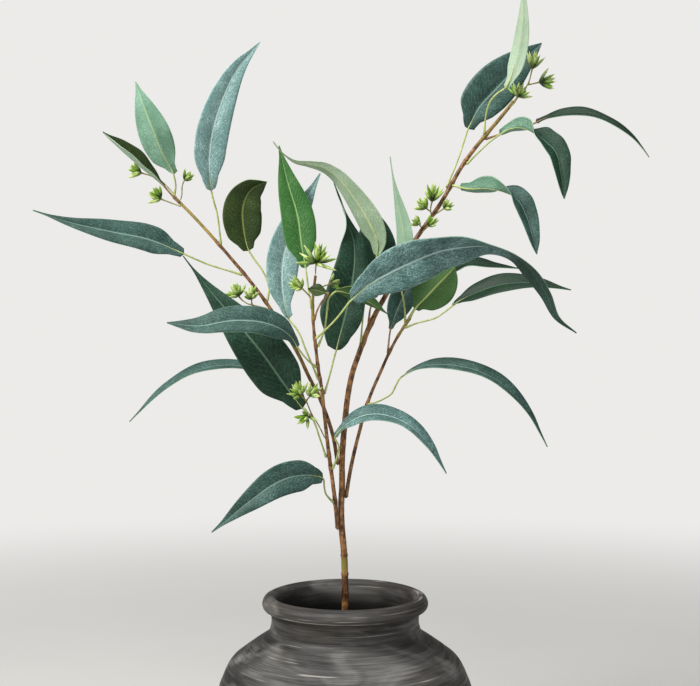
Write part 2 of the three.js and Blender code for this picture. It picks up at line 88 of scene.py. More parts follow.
def newGroup(name, inputs, outputs):
    group = bpy.data.node_groups.new(name, "ShaderNodeTree")
    for socket, kind, value in inputs:
        made = group.interface.new_socket(name=socket, in_out="INPUT", socket_type="NodeSocket" + kind)
        if value is not None:
            made.default_value = value
    for socket, kind in outputs:
        group.interface.new_socket(name=socket, in_out="OUTPUT", socket_type="NodeSocket" + kind)
    start = group.nodes.new("NodeGroupInput").outputs
    end = group.nodes.new("NodeGroupOutput").inputs
    return group, start, end


def placed(tree, group, feeds):
    node = addNode(tree, "Group", node_tree=group)
    for socket, value in feeds.items():
        if isinstance(value, bpy.types.NodeSocket):
            tree.links.new(value, node.inputs[socket])
        else:
            node.inputs[socket].default_value = value
    return node.outputs


def newMaterial(name, **values):
    material = bpy.data.materials.new(name)
    material.use_nodes = True
    tree = material.node_tree
    shader = tree.nodes["Principled BSDF"]
    for socket, value in values.items():
        shader.inputs[socket.replace("_", " ")].default_value = value
    place = addNode(tree, "TexCoord").outputs["Object"]
    return material, tree, shader, place


# Waxy bloom: a pale coat worn into patches and flecks
def makeBloom():
    group, start, end = newGroup(
        "waxyBloom",
        [("Vector", "Vector", None), ("Leaf", "Color", None), ("Wax", "Color", None),
         ("Cover", "Float", 0.5), ("Flecks", "Float", 950.0), ("Patches", "Float", 45.0)],
        [("Color", "Color"), ("Wax", "Float")],
    )
    flecks = eased(group, cloud(group, start["Vector"], start["Flecks"], 4, 0.65), 0.44, 0.64)
    broad = cloud(group, start["Vector"], start["Patches"], 3, 0.6, 0.4)
    patches = eased(group, broad, 0.3, 0.75, 0.35, 1)
    both = sums(group, "MULTIPLY", patches, sums(group, "MULTIPLY_ADD", flecks, 0.8, 0.35))
    wax = sums(group, "MULTIPLY", both, start["Cover"])
    group.links.new(mixed(group, wax, start["Leaf"], start["Wax"]), end["Color"])
    group.links.new(wax, end["Wax"])
    return group


# Midrib and side veins, read from a blade's own map: u across it and v along it
def makeVeins():
    group, start, end = newGroup(
        "bladeVeins",
        [("Vector", "Vector", None), ("Pairs", "Float", 22.0), ("Slant", "Float", 0.16),
         ("Rib", "Float", 0.018)],
        [("Midrib", "Float"), ("Side", "Float"), ("Margin", "Float"), ("Streaks", "Float")],
    )
    split = addNode(group, "SeparateXYZ", {"Vector": start["Vector"]}).outputs
    aside = sums(group, "ABSOLUTE", sums(group, "SUBTRACT", split["X"], 0.5))
    out = sums(group, "MULTIPLY", aside, 2.0)
    ribWidth = sums(group, "MULTIPLY", start["Rib"], eased(group, split["Y"], 0.0, 1.0, 1.15, 0.7))
    inner = sums(group, "SUBTRACT", out, ribWidth)
    midrib = eased(group, inner, 0.0, 0.045, 1.0, 0.0)
    offset = sums(group, "MULTIPLY", sums(group, "GREATER_THAN", split["X"], 0.5), 0.5)
    wander = sums(group, "MULTIPLY", cloud(group, start["Vector"], 14.0, 2), 1.6)
    step = sums(group, "SUBTRACT", split["Y"], sums(group, "MULTIPLY", out, start["Slant"]))
    step = sums(group, "ADD", sums(group, "MULTIPLY_ADD", step, start["Pairs"], offset), wander)
    near = sums(group, "ABSOLUTE", sums(group, "SUBTRACT", sums(group, "FRACT", step), 0.5))
    fading = eased(group, out, 0.5, 1.0, 1.0, 0.1)
    side = sums(group, "MULTIPLY", eased(group, near, 0.0, 0.14, 1.0, 0.0), fading)
    slanted = {"X": sums(group, "MULTIPLY", step, 3.2), "Y": sums(group, "MULTIPLY", out, 7.0)}
    lane = addNode(group, "CombineXYZ", slanted).outputs[0]
    streaks = eased(group, cloud(group, lane, 1.0, 5, 0.75, 0.2), 0.38, 0.62)
    group.links.new(midrib, end["Midrib"])
    group.links.new(side, end["Side"])
    group.links.new(eased(group, out, 0.93, 1.0), end["Margin"])
    group.links.new(streaks, end["Streaks"])
    return group


# Fibres and patches that run up a stem or a stalk
def makeGrain():
    group, start, end = newGroup(
        "stemGrain",
        [("Vector", "Vector", None), ("Dark", "Color", None), ("Light", "Color", None),
         ("Fine", "Float", 900.0)],
        [("Color", "Color"), ("Height", "Float")],
    )
    long = stretched(group, start["Vector"], (1, 1, 0.12))
    fibres = cloud(group, long, start["Fine"], 3, 0.6)
    patches = cloud(group, start["Vector"], 130.0, 3, 0.6, 0.6)
    patched = eased(group, patches, 0.42, 0.68, 0, 0.55)
    share = sums(group, "MULTIPLY_ADD", eased(group, fibres, 0.35, 0.7), 0.45, patched)
    group.links.new(mixed(group, share, start["Dark"], start["Light"]), end["Color"])
    group.links.new(fibres, end["Height"])
    return group


waxyBloom = makeBloom()
bladeVeins = makeVeins()
stemGrain = makeGrain()


# Leaf finishes: the upper face and the underside of the kinds of leaf in the spray
topFinishes = {
    "teal": dict(
        leaf=tone(6, 42, 30), wax=tone(110, 148, 142), rib=tone(142, 170, 158),
        cover=0.50, vein=0.12,
    ),
    "deep": dict(
        leaf=tone(2, 32, 16), wax=tone(74, 120, 96), rib=tone(112, 148, 120),
        cover=0.44, vein=0.12,
    ),
    "pine": dict(
        leaf=tone(0, 24, 8), wax=tone(46, 88, 62), rib=tone(70, 104, 76),
        cover=0.36, vein=0.10,
    ),
    "slate": dict(
        leaf=tone(14, 58, 50), wax=tone(154, 192, 190), rib=tone(182, 206, 200),
        cover=0.64, vein=0.14,
    ),
    "frost": dict(
        leaf=tone(66, 106, 102), wax=tone(176, 206, 204), rib=tone(210, 226, 220),
        cover=0.70, vein=0.16,
    ),
    "bright": dict(
        leaf=tone(20, 82, 22), wax=tone(110, 152, 92), rib=tone(164, 194, 130),
        cover=0.42, vein=0.15,
    ),
    "olive": dict(
        leaf=tone(14, 38, 4), wax=tone(84, 104, 44), rib=tone(134, 148, 74),
        cover=0.42, vein=0.15,
    ),
}
# slate, with painted shade past the bend, where the blade turns away from the light
topFinishes["arched"] = dict(
    topFinishes["slate"], shade=dict(start=0.56, end=0.68, colour=tone(10, 40, 24), amount=0.8)
)
underFinishes = {
    "sage": dict(
        leaf=tone(82, 126, 100), wax=tone(158, 192, 174), rib=tone(172, 196, 152),
        cover=0.66, vein=0.20,
    ),
    "moss": dict(
        leaf=tone(104, 128, 88), wax=tone(176, 192, 158), rib=tone(202, 200, 140),
        cover=0.60, vein=0.22,
    ),
    "silver": dict(
        leaf=tone(116, 142, 112), wax=tone(178, 196, 172), rib=tone(208, 208, 160),
        cover=0.66, vein=0.22,
    ),
    "fern": dict(
        leaf=tone(44, 82, 36), wax=tone(96, 134, 84), rib=tone(176, 186, 108),
        cover=0.50, vein=0.18,
    ),
    "mint": dict(
        leaf=tone(128, 164, 134), wax=tone(184, 208, 188), rib=tone(206, 220, 184),
        cover=0.66, vein=0.20,
    ),
    "milk": dict(
        leaf=tone(140, 164, 136), wax=tone(184, 198, 180), rib=tone(200, 208, 180),
        cover=0.60, vein=0.16,
    ),
}
leafSurface = dict(
    rough=0.5, waxRough=0.66, shine=0.25,
    pairs=26.0, streaks=1.0,        # side veins to a blade, and how strongly the bloom follows them
    ribCover=0.62, marginCover=0.25,
    poreScale=1500.0, relief=0.3,
)


def leafMaterial(name, finish):
    surface = leafSurface
    material, tree, shader, place = newMaterial(name, Specular_IOR_Level=surface["shine"])
    sheet = addNode(tree, "UVMap", uv_map="UVMap").outputs["UV"]
    veins = placed(tree, bladeVeins, {"Vector": sheet, "Pairs": surface["pairs"]})
    unstreaked = 1 - surface["streaks"] / 2
    streaked = sums(tree, "MULTIPLY_ADD", veins["Streaks"], surface["streaks"], unstreaked)
    bloom = placed(tree, waxyBloom, {
        "Vector": place, "Leaf": finish["leaf"], "Wax": finish["wax"],
        "Cover": sums(tree, "MULTIPLY", streaked, finish["cover"]),
    })
    colour = bloom["Color"]
    covers = {"Side": finish["vein"], "Midrib": surface["ribCover"], "Margin": surface["marginCover"]}
    for vein, cover in covers.items():
        colour = mixed(tree, sums(tree, "MULTIPLY", veins[vein], cover), colour, finish["rib"])
    # painted shade over the blade past its bend, where it turns away from the light
    if "shade" in finish:
        shade = finish["shade"]
        along = addNode(tree, "SeparateXYZ", {"Vector": sheet}).outputs["Y"]
        past = eased(tree, along, shade["start"], shade["end"], 0, shade["amount"])
        colour = mixed(tree, past, colour, shade["colour"])
    roughness = eased(tree, bloom["Wax"], 0.0, 0.6, surface["rough"], surface["waxRough"])
    pores = cloud(tree, place, surface["poreScale"], 2)
    height = sums(tree, "MULTIPLY_ADD", veins["Side"], -0.6, sums(tree, "MULTIPLY", pores, 0.5))
    bump = addNode(tree, "Bump", {"Height": height, "Strength": surface["relief"], "Distance": 0.0005})
    tree.links.new(colour, shader.inputs["Base Color"])
    tree.links.new(roughness, shader.inputs["Roughness"])
    tree.links.new(bump.outputs[0], shader.inputs["Normal"])
    return material


topMaterials = {key: leafMaterial(key + "LeafTop", finish) for key, finish in topFinishes.items()}
underMaterials = {
    key: leafMaterial(key + "LeafUnderside", finish) for key, finish in underFinishes.items()
}


# Petioles, stalks and bark share one grain; a finish with young wood reads where that grows
stemFinishes = {
    "greenPetiole": dict(dark=tone(146, 160, 86), light=tone(196, 202, 138), rough=0.5),
    "redPetiole": dict(dark=tone(128, 84, 58), light=tone(176, 150, 104), rough=0.5),
    "budStalk": dict(dark=tone(122, 112, 56), light=tone(176, 172, 98), rough=0.55),
    "bark": dict(
        dark=tone(44, 16, 2), light=tone(178, 128, 76), rough=0.45,
        relief=0.45, deep=0.0004,   # strength and depth of the grain
        young=tone(150, 142, 58), youngCover=0.75,
    ),
}


def stemMaterial(name, finish):
    material, tree, shader, place = newMaterial(name, Roughness=finish["rough"], Specular_IOR_Level=0.4)
    grain = placed(tree, stemGrain, {"Vector": place, "Dark": finish["dark"], "Light": finish["light"]})
    colour = grain["Color"]
    if "young" in finish:
        young = addNode(tree, "Attribute", attribute_name="young").outputs["Fac"]
        greened = sums(tree, "MULTIPLY", young, finish["youngCover"])
        colour = mixed(tree, greened, colour, finish["young"])
    relief, deep = finish.get("relief", 0.3), finish.get("deep", 0.0003)
    bump = addNode(tree, "Bump", {"Height": grain["Height"], "Strength": relief, "Distance": deep})
    tree.links.new(colour, shader.inputs["Base Color"])
    tree.links.new(bump.outputs[0], shader.inputs["Normal"])
    return material


stemMaterials = {key: stemMaterial(key, finish) for key, finish in stemFinishes.items()}

budFinish = dict(
    # the foot colour is painted shade, where packed buds shade each other; the tip colour is a painted
    # highlight on each cap
    base=tone(26, 58, 4), cap=tone(112, 150, 36), tip=tone(206, 210, 118), spot=tone(30, 52, 4),
    pale=tone(200, 216, 140),
)


def budMaterial():
    finish = budFinish
    material, tree, shader, place = newMaterial("budSkin", Roughness=0.42, Specular_IOR_Level=0.45)
    sheet = addNode(tree, "UVMap", uv_map="UVMap").outputs["UV"]
    high = addNode(tree, "SeparateXYZ", {"Vector": sheet}).outputs["Y"]
    ripe = addNode(tree, "Attribute", attribute_name="ripe").outputs["Fac"]
    # darker at the foot as painted shade between packed buds, pale at the tip as a painted highlight
    body = mixed(tree, eased(tree, high, 0.25, 0.6), finish["base"], finish["cap"])
    highlightedTip = mixed(tree, eased(tree, high, 0.78, 0.97, 0, 0.8), body, finish["tip"])
    paler = sums(tree, "MULTIPLY", ripe, eased(tree, high, 0.2, 0.7, 0.2, 0.85))
    young = mixed(tree, paler, highlightedTip, finish["pale"])
    spots = eased(tree, cloud(tree, place, 520.0, 3, 0.6), 0.48, 0.72)
    spotted = mixed(tree, sums(tree, "MULTIPLY", spots, 0.5), young, finish["spot"])
    pores = cloud(tree, place, 1400.0, 2)
    bump = addNode(tree, "Bump", {"Height": pores, "Strength": 0.25, "Distance": 0.0003})
    tree.links.new(spotted, shader.inputs["Base Color"])
    tree.links.new(bump.outputs[0], shader.inputs["Normal"])
    return material


budSkin = budMaterial()

# Clay: brushed round the wheel, scuffed here and there, with painted shade darkening it down inside
clayFinish = dict(
    dark=tone(14, 12, 11), mid=tone(78, 76, 74), dust=tone(142, 140, 137), warm=tone(74, 62, 50),
    # inside: painted shade, the near-black that darkens the clay down inside the vase
    scuff=tone(190, 184, 176), inside=tone(9, 8, 7), rough=0.62,
    warmCover=0.5, scratchCover=0.5, gritScale=900.0,
    relief=0.4, deep=0.0006,
)
# noises drawn out round the wheel
clayLayers = dict(
    bands=dict(stretch=26, scale=11.0, detail=6, rough=0.62, warp=0.2),   # brushed bands
    hairs=dict(stretch=70, scale=24.0, detail=4, rough=0.7),              # fine lines inside the bands
    dust=dict(stretch=3, scale=13.0, detail=3, rough=0.55, warp=0.6),     # pale patches
    earth=dict(stretch=2, scale=7.0, detail=4, rough=0.6, warp=0.5),      # warm patches
    threads=dict(stretch=150, scale=4.0, detail=2, rough=0.5),            # long pale scratches
    gaps=dict(stretch=8, scale=14.0, detail=2),                           # what breaks the scratches up
)


def clayMaterial():
    finish = clayFinish
    material, tree, shader, place = newMaterial("clay", Specular_IOR_Level=0.4)
    noises = {}
    for name, layer in clayLayers.items():
        settings = dict(layer)
        flat = stretched(tree, place, (1, 1, settings.pop("stretch")))
        noises[name] = cloud(tree, flat, **settings)
    brushed, fine = noises["bands"], noises["hairs"]
    lines = eased(tree, fine, 0.4, 0.7, 0, 0.4)
    share = sums(tree, "MULTIPLY_ADD", eased(tree, brushed, 0.36, 0.66), 0.5, lines)
    streaked = mixed(tree, share, finish["dark"], finish["mid"])
    lifted = eased(tree, fine, 0.3, 0.62, 0.22, 0.72)
    dust = sums(tree, "MULTIPLY", eased(tree, noises["dust"], 0.44, 0.74), lifted)
    dusted = mixed(tree, dust, streaked, finish["dust"])
    warm = eased(tree, noises["earth"], 0.5, 0.72, 0, finish["warmCover"])
    warmed = mixed(tree, warm, dusted, finish["warm"])
    thread = eased(tree, noises["threads"], 0.63, 0.67)
    gaps = eased(tree, noises["gaps"], 0.5, 0.62)
    scratch = sums(tree, "MULTIPLY", sums(tree, "MULTIPLY", thread, gaps), finish["scratchCover"])
    scuffed = mixed(tree, scratch, warmed, finish["scuff"])
    # painted shade down inside the vase, mixed in by how far below the lip a point lies
    depth = addNode(tree, "Attribute", attribute_name="depth").outputs["Fac"]
    shaded = mixed(tree, depth, scuffed, finish["inside"])
    grit = cloud(tree, place, finish["gritScale"], 3, 0.7)
    rise = sums(tree, "MULTIPLY_ADD", fine, 0.4, sums(tree, "MULTIPLY", grit, 0.25))
    height = sums(tree, "MULTIPLY_ADD", brushed, 0.6, rise)
    relief, deep = finish["relief"], finish["deep"]
    bump = addNode(tree, "Bump", {"Height": height, "Strength": relief, "Distance": deep})
    roughness = eased(tree, brushed, 0.3, 0.7, finish["rough"] + 0.1, finish["rough"] - 0.12)
    tree.links.new(shaded, shader.inputs["Base Color"])
    tree.links.new(roughness, shader.inputs["Roughness"])
    tree.links.new(bump.outputs[0], shader.inputs["Normal"])
    return material


clay = clayMaterial()
print("finishes made")


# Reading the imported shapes

def pieceName(node):
    first, *rest = node.split("_")
    return first + "".join(word.capitalize() for word in rest)


def mergedCopy(node):
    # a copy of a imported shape, with its loose triangles joined up
    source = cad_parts[node]
    copy = source.copy()
    copy.data = source.data.copy()
    copy.parent = None
    for key in list(copy.keys()):
        del copy[key]
    copy.name = pieceName(node)
    copy.data.materials.clear()
    bpy.context.scene.collection.objects.link(copy)
    pickOnly(copy)
    bpy.ops.object.mode_set(mode="EDIT")
    bpy.ops.mesh.select_all(action="SELECT")
    bpy.ops.mesh.remove_doubles(threshold=0.01 * millimetre)
    bpy.ops.object.mode_set(mode="OBJECT")
    return copy


def pickOnly(thing):
    bpy.ops.object.select_all(action="DESELECT")
    thing.select_set(True)
    bpy.context.view_layer.objects.active = thing


def discard(thing):
    mesh = thing.data
    bpy.data.objects.remove(thing)
    bpy.data.meshes.remove(mesh)


def neighboursOf(mesh):
    joined = [set() for _ in mesh.vertices]
    for edge in mesh.edges:
        a, b = edge.vertices
        joined[a].add(b)
        joined[b].add(a)
    return joined


def layersFrom(ring, joined):
    # the ring, then the points next to it, then those next to them, and so on
    layers, seen = [list(ring)], set(ring)
    while True:
        fresh = sorted({j for i in layers[-1] for j in joined[i]} - seen)
        if not fresh:
            return layers
        layers.append(fresh)
        seen.update(fresh)


def ringsOf(node, size):
    # a lofted shape's rings of points, from its thick end to its thin one
    copy = mergedCopy(node)
    points = [vertex.co.copy() for vertex in copy.data.vertices]
    joined = neighboursOf(copy.data)
    discard(copy)

    def nearest(place, count):
        return sorted(range(len(points)), key=lambda i: (points[i] - place).length)[:count]

    def spread(ring):
        return max((points[i] - points[j]).length for i in ring for j in ring)

    # the end ring is the one from which every further layer is a whole ring
    end = nearest(points[layersFrom([0], joined)[-1][0]], 2 * size)
    centre = middle([points[i] for i in end[:size]])
    for place in [centre] + [points[i] for i in end]:
        layers = layersFrom(nearest(place, size), joined)
        if all(len(layer) == size for layer in layers):
            break
    if spread(layers[0]) < spread(layers[-1]):
        layers.reverse()
    return [[points[i] for i in layer] for layer in layers]


def middle(points):
    return sum(points, Vector()) / len(points)


def splineAt(values, place):
    # a smooth curve through evenly counted values, read at any place between them
    last = len(values) - 1
    index = min(int(place), last - 1)
    share = place - index
    before = values[index - 1] if index > 0 else values[0] * 2 - values[1]
    after = values[index + 2] if index + 2 <= last else values[last] * 2 - values[last - 1]
    a, b = values[index], values[index + 1]
    return 0.5 * (a * 2 + (b - before) * share + (before * 2 - a * 5 + b * 4 - after) * share ** 2
                  + (a * 3 - before - b * 3 + after) * share ** 3)


def tubeThrough(name, points, radii, sides, material):
    # a curve with a round bevel, turned into a closed mesh
    curve = bpy.data.curves.new(name, "CURVE")
    curve.dimensions = "3D"
    curve.bevel_depth = 1.0
    curve.bevel_resolution = (sides - 4) // 2
    curve.use_fill_caps = True
    spline = curve.splines.new("POLY")
    spline.points.add(len(points) - 1)
    for target, place, radius in zip(spline.points, points, radii):
        target.co = (*place, 1)
        target.radius = radius
    tube = bpy.data.objects.new(name, curve)
    bpy.context.scene.collection.objects.link(tube)
    pickOnly(tube)
    bpy.ops.object.convert(target="MESH")
    tube = bpy.context.active_object
    bpy.ops.object.shade_smooth()
    tube.data.materials.clear()
    tube.data.materials.append(material)
    return tube


def settle(piece, node):
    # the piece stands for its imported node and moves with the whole
    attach(piece, "root")
    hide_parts(node)


nodeNames = sorted(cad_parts)
leafNodes = [name for name in nodeNames if "_leaf_" in name]
seedNodes = [name for name in nodeNames if "_seeds_" in name]
stemNodes = [name for name in nodeNames if name.endswith("_stem")]

# Leaves
leafShape = dict(
    bladeRings=12,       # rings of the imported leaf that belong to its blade
    across=14, along=77,  # squares in the blade
    roundBase=0.48,      # the lower, the rounder the blade starts
    thickness=0.55 * millimetre,
    camber=0.07,         # how far each half bulges, as a share of its width
    wave=0.035,          # how far the margin waves
    waves=2.6,
    groove=0.28 * millimetre,
    grooveWidth=0.9 * millimetre,
    narrow=2.5 * millimetre,       # a ring narrower than this takes its upward direction from the next
    petioleInto=1.0 * millimetre,  # the foot goes this far into the bark
    petioleSides=8,
    petioleSteps=4,                # points between two packed rings
    ribRadius=0.34 * millimetre,
    ribDrop=0.1 * millimetre,      # the rib lies this far under the blade
    ribRings=3,                    # rings over which the petiole thins into the rib
    leastRadius=0.08 * millimetre,
)

# upper face, underside and petiole of each leaf
leafLooks = {
    "front_leaf_1": ("teal", "sage", "greenPetiole"),
    "front_leaf_2": ("slate", "sage", "greenPetiole"),
    "front_leaf_3": ("deep", "sage", "greenPetiole"),
    "front_leaf_4": ("deep", "sage", "greenPetiole"),
    "front_leaf_5": ("frost", "mint", "greenPetiole"),
    "front_leaf_6": ("teal", "sage", "greenPetiole"),
    "front_leaf_7": ("deep", "fern", "greenPetiole"),
    "front_leaf_8": ("arched", "sage", "greenPetiole"),
    "front_leaf_9": ("olive", "moss", "redPetiole"),
    "front_leaf_10": ("bright", "moss", "greenPetiole"),
    "left_leaf_1": ("teal", "sage", "greenPetiole"),
    "left_leaf_2": ("olive", "moss", "greenPetiole"),
    "left_leaf_3": ("teal", "sage", "greenPetiole"),
    "left_leaf_4": ("frost", "mint", "greenPetiole"),
    "left_leaf_5": ("olive", "mint", "redPetiole"),
    "left_leaf_6": ("teal", "sage", "greenPetiole"),
    "right_leaf_1": ("teal", "sage", "greenPetiole"),
    "right_leaf_2": ("teal", "sage", "redPetiole"),
    "right_leaf_3": ("pine", "sage", "greenPetiole"),
    "right_leaf_4": ("pine", "sage", "greenPetiole"),
    "right_leaf_5": ("deep", "mint", "greenPetiole"),
    "right_leaf_6": ("bright", "fern", "greenPetiole"),
    "main_leaf_1": ("deep", "silver", "greenPetiole"),
    "main_leaf_2": ("deep", "sage", "redPetiole"),
    "main_leaf_3": ("teal", "sage", "greenPetiole"),
    "main_leaf_4": ("teal", "sage", "greenPetiole"),
    "main_leaf_5": ("deep", "sage", "greenPetiole"),
    "main_leaf_6": ("pine", "sage", "redPetiole"),
    "main_leaf_7": ("deep", "milk", "greenPetiole"),
}


def bladeSections(rings):
    # the midrib, both margins and the upward direction at each ring of a blade
    centres = [middle(ring) for ring in rings]
    sections = []
    for index, ring in enumerate(rings):
        ahead = centres[min(index + 1, len(rings) - 1)]
        behind = centres[max(index - 1, 0)]
        along = (ahead - behind).normalized()
        first, second = max(
            ((a, b) for a in ring for b in ring), key=lambda pair: (pair[0] - pair[1]).length
        )
        axis = (second - first).normalized()
        ordered = sorted(ring, key=lambda point: point.dot(axis))
        low, rib, high = (middle(ordered[i:i + 2]) for i in (0, 2, 4))
        chord = (high - low).normalized()
        up = low + chord * (rib - low).dot(chord) - rib
        up -= along * up.dot(along)
        sections.append(dict(rib=rib, low=low, high=high, up=up, along=along))
    widest = max(sections, key=lambda section: (section["high"] - section["low"]).length)
    start = sections.index(widest)
    order = list(range(start, -1, -1)) + list(range(start + 1, len(sections)))
    for index in order:
        section = sections[index]
        width = (section["high"] - section["low"]).length
        if index <= start:
            known = sections[min(index + 1, start)]["up"]
        else:
            known = sections[index - 1]["up"]
        if width < leafShape["narrow"] and index != start:
            section["up"] = known.copy()
        section["up"] -= section["along"] * section["up"].dot(section["along"])
        section["up"].normalize()
        outward = section["along"].cross(section["up"])
        if (section["high"] - section["low"]).dot(outward) < 0:
            section["low"], section["high"] = section["high"], section["low"]
    return sections


def makeBlade(name, sections, top, under):
    shape = leafShape
    bpy.ops.object.select_all(action="DESELECT")
    bpy.ops.mesh.primitive_grid_add(
        x_subdivisions=shape["across"], y_subdivisions=shape["along"], size=1
    )
    blade = bpy.context.active_object
    blade.name = name
    lists = {key: [section[key] for section in sections] for key in ("rib", "low", "high", "up")}
    phase = noise.noise(lists["rib"][0] * 40) * 6
    last = len(sections) - 1
    for vertex in blade.data.vertices:
        across, along = vertex.co.x * 2, vertex.co.y + 0.5
        place = along * last
        rib, up = splineAt(lists["rib"], place), splineAt(lists["up"], place).normalized()
        margins = lists["low" if across < 0 else "high"]
        arm = splineAt(margins, place) - rib
        if 0 < place < 1:
            arm *= place ** shape["roundBase"] / place
            widest = (margins[1] - lists["rib"][1]).length
            arm *= min(1, widest / arm.length)
        width, out = arm.length, abs(across)
        bulge = shape["camber"] * width * 4 * out * (1 - out)
        side = 1 if across > 0 else -1
        ripple = math.sin(2 * math.pi * shape["waves"] * along + phase + side * 1.1)
        wave = shape["wave"] * width * out ** 2 * ripple * math.sin(math.pi * along)
        fromRib = (out * width) / shape["grooveWidth"]
        groove = shape["groove"] * math.exp(-fromRib ** 2) * (1 - along ** 3)
        vertex.co = rib + arm * out + up * (bulge + wave - groove)
    blade.data.materials.append(top)
    blade.data.materials.append(under)
    shell = blade.modifiers.new("thickness", "SOLIDIFY")
    shell.thickness = shape["thickness"]
    shell.offset = -1
    shell.material_offset = 1
    shell.material_offset_rim = 1
    bpy.ops.object.modifier_apply(modifier=shell.name)
    bpy.ops.object.shade_smooth()
    return blade


def makeLeaf(node):
    shape = leafShape
    top, under, petiole = leafLooks[node]
    rings = ringsOf(node, 6)
    sections = bladeSections(rings[-shape["bladeRings"]:])
    blade = makeBlade(pieceName(node), sections, topMaterials[top], underMaterials[under])
    stalk = [middle(ring) for ring in rings[:-shape["bladeRings"]]]
    girths = [sum((p - c).length for p in ring) / len(ring) for ring, c in zip(rings, stalk)]
    foot = stalk[0] + (stalk[0] - stalk[1]).normalized() * shape["petioleInto"]
    drop = shape["thickness"] + shape["ribDrop"]
    ribs = [section["rib"] - section["up"] * drop for section in sections]
    route = [foot] + stalk + ribs
    thick = [girths[0]] + girths
    last = thick[-1]
    for ring in range(len(ribs)):
        thinning = last * (1 - ring / shape["ribRings"])
        thick.append(max(thinning, shape["ribRadius"] * (1 - ring / len(ribs))))
    steps = (len(route) - 1) * shape["petioleSteps"]
    places = [step / shape["petioleSteps"] for step in range(steps + 1)]
    points = [splineAt(route, place) for place in places]
    radii = [max(splineAt(thick, place), shape["leastRadius"]) for place in places]
    rod = tubeThrough("petiole", points, radii, shape["petioleSides"], stemMaterials[petiole])
    pickOnly(blade)
    rod.select_set(True)
    bpy.ops.object.join()
    settle(blade, node)
    return stalk[0]


joints = {node: makeLeaf(node) for node in leafNodes}
print("leaves made:", len(leafNodes))

# Flower buds
budShape = dict(
    segments=8, rings=9,
    packedRing=0.6,     # where a packed bud has its upper ring, as a share of its length
    radius=1.5 * millimetre,
    # radius at rising heights: narrow foot, swollen cup, a seam, and a pointed cap
    outline=[0.0, 0.42, 0.74, 0.96, 1.0, 0.88, 0.84, 0.56, 0.25, 0.0],
    tuft=4.0 * millimetre,   # buds whose feet lie this close belong to one tuft
    extra=7,                 # buds that fill the middle of each tuft
    lean=22,                 # how far these lean from the tuft's own direction, in degrees
    turn=137.5,              # and how far each is turned from the one before
    longer=1.36,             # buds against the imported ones
    usual=22 * millimetre,   # a longer bud is stouter, and a shorter one slimmer
    stoutest=1.15,
    leastEdge=2.5 * millimetre,  # edges that meet at a packed tip are at least this long
    widestTip=40,                # and this close to its axis, in degrees
    sleeve=2.1 * millimetre,     # packed points this close to a bud's axis shrink into the new bud
)


def makeBud():
    # one bud, one unit tall and one unit in radius, to be copied on to every stalk
    shape = budShape
    bpy.ops.object.select_all(action="DESELECT")
    bpy.ops.mesh.primitive_uv_sphere_add(
        segments=shape["segments"], ring_count=shape["rings"], radius=1
    )
    bud = bpy.context.active_object
    bud.name = "budPattern"
    last = len(shape["outline"]) - 1
    for vertex in bud.data.vertices:
        rise = math.acos(max(-1, min(1, -vertex.co.z))) / math.pi
        flat = Vector((vertex.co.x, vertex.co.y, 0))
        if flat.length > 1e-6:
            flat = flat.normalized() * splineAt(shape["outline"], rise * last)
        vertex.co = (flat.x, flat.y, rise)
    bpy.ops.object.shade_smooth()
    bud.data.materials.clear()
    bud.data.attributes.new("ripe", "FLOAT", "POINT")
    return bud


def budsOf(mesh):
    # the foot, direction and length of each bud in a packed cluster, found by its sharp tip
    points = [vertex.co for vertex in mesh.vertices]
    found = []
    for index, around in enumerate(neighboursOf(mesh)):
        tip = points[index]
        arms = [points[other] - tip for other in around]
        if len(arms) < 4 or min(arm.length for arm in arms) < budShape["leastEdge"]:
            continue
        axis = -sum((arm.normalized() for arm in arms), Vector()).normalized()
        if max(axis.angle(-arm) for arm in arms) > math.radians(budShape["widestTip"]):
            continue
        rises = sorted(-arm.dot(axis) for arm in arms)
        length = rises[len(rises) // 2] / (1 - budShape["packedRing"])
        found.append((tip - axis * length, axis, length))
    return found


def filledTufts(buds):
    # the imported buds, and the shorter ones between them
    shape = budShape
    tufts = []
    for bud in buds:
        near = [tuft for tuft in tufts if (tuft[0][0] - bud[0]).length < shape["tuft"]]
        if near:
            near[0].append(bud)
        else:
            tufts.append([bud])
    filled = list(buds)
    for tuft in tufts:
        foot = middle([bud[0] for bud in tuft])
        aim = sum((bud[1] for bud in tuft), Vector()).normalized()
        length = sum(bud[2] for bud in tuft) / len(tuft)
        turn = aim.to_track_quat("Z", "Y").to_matrix()
        for number in range(shape["extra"]):
            around = math.radians(shape["turn"]) * number + foot.x * 900
            lean = math.radians(shape["lean"] * (0.35 + 0.3 * number))
            side = math.sin(lean)
            out = Vector((side * math.cos(around), side * math.sin(around), math.cos(lean)))
            filled.append((foot, turn @ out, length * (1.0 - 0.12 * (number % 3))))
    return [(foot, aim, length * shape["longer"]) for foot, aim, length in filled]


